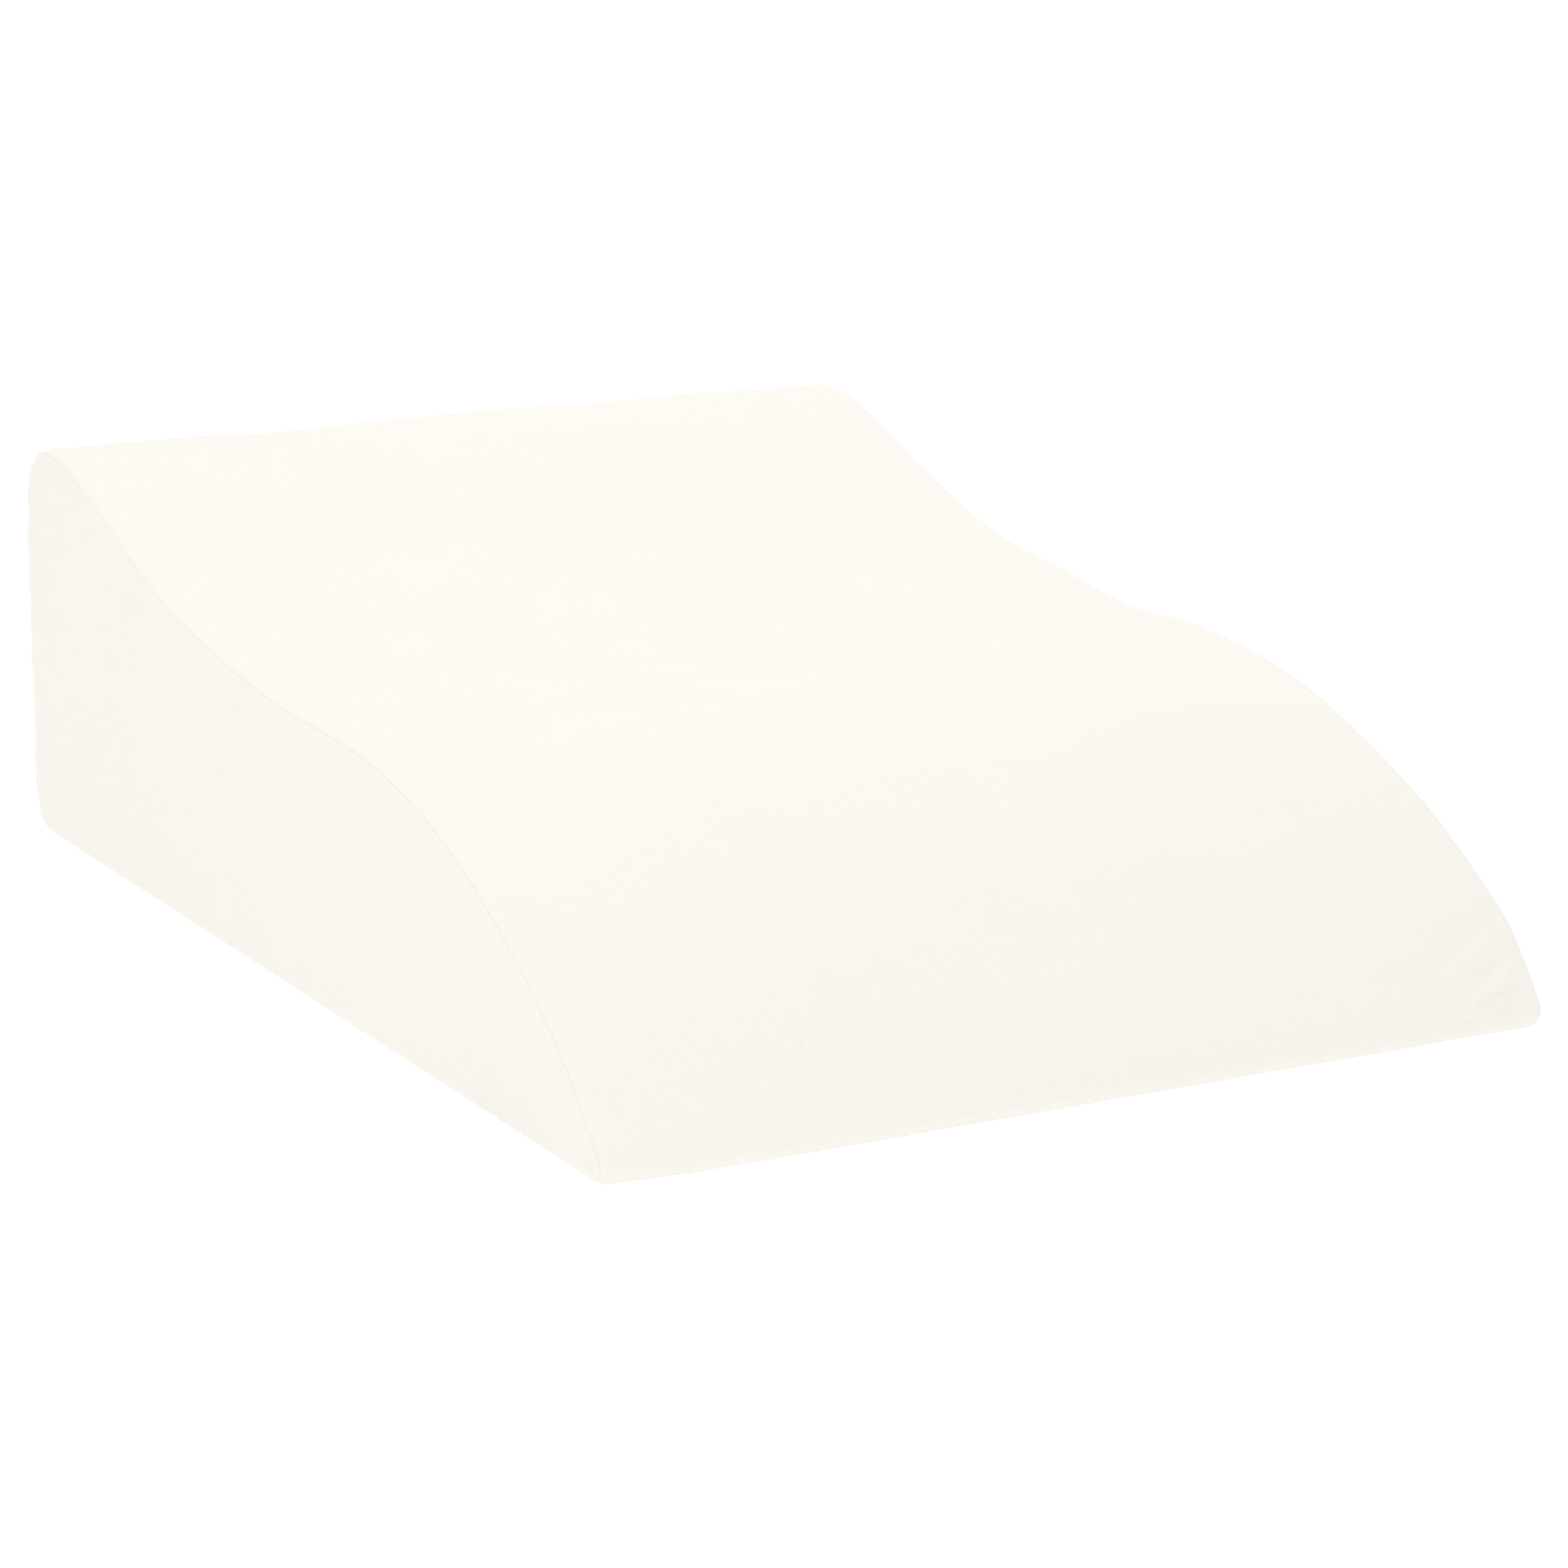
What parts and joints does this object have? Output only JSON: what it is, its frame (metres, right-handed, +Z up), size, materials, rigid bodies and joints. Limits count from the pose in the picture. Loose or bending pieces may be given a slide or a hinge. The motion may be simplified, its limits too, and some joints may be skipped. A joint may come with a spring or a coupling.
{
  "type": "leg pillow",
  "caption": "Contoured foam leg-rest wedge in a plain sewn cover: high crest, calf slope, near-level knee rest and rounded thigh end on a flat base.",
  "frame": {"origin": "on the floor, under the middle of the pillow's box", "axes": "+X across the width, +Y along the length towards the high back end, +Z up"},
  "size_m": [0.505, 0.75, 0.2235],
  "materials": {
    "cover": "fine matt woven cotton, off-white"
  },
  "bodies": {
    "root": {"pillow": "cover"}
  },
  "joints": []
}
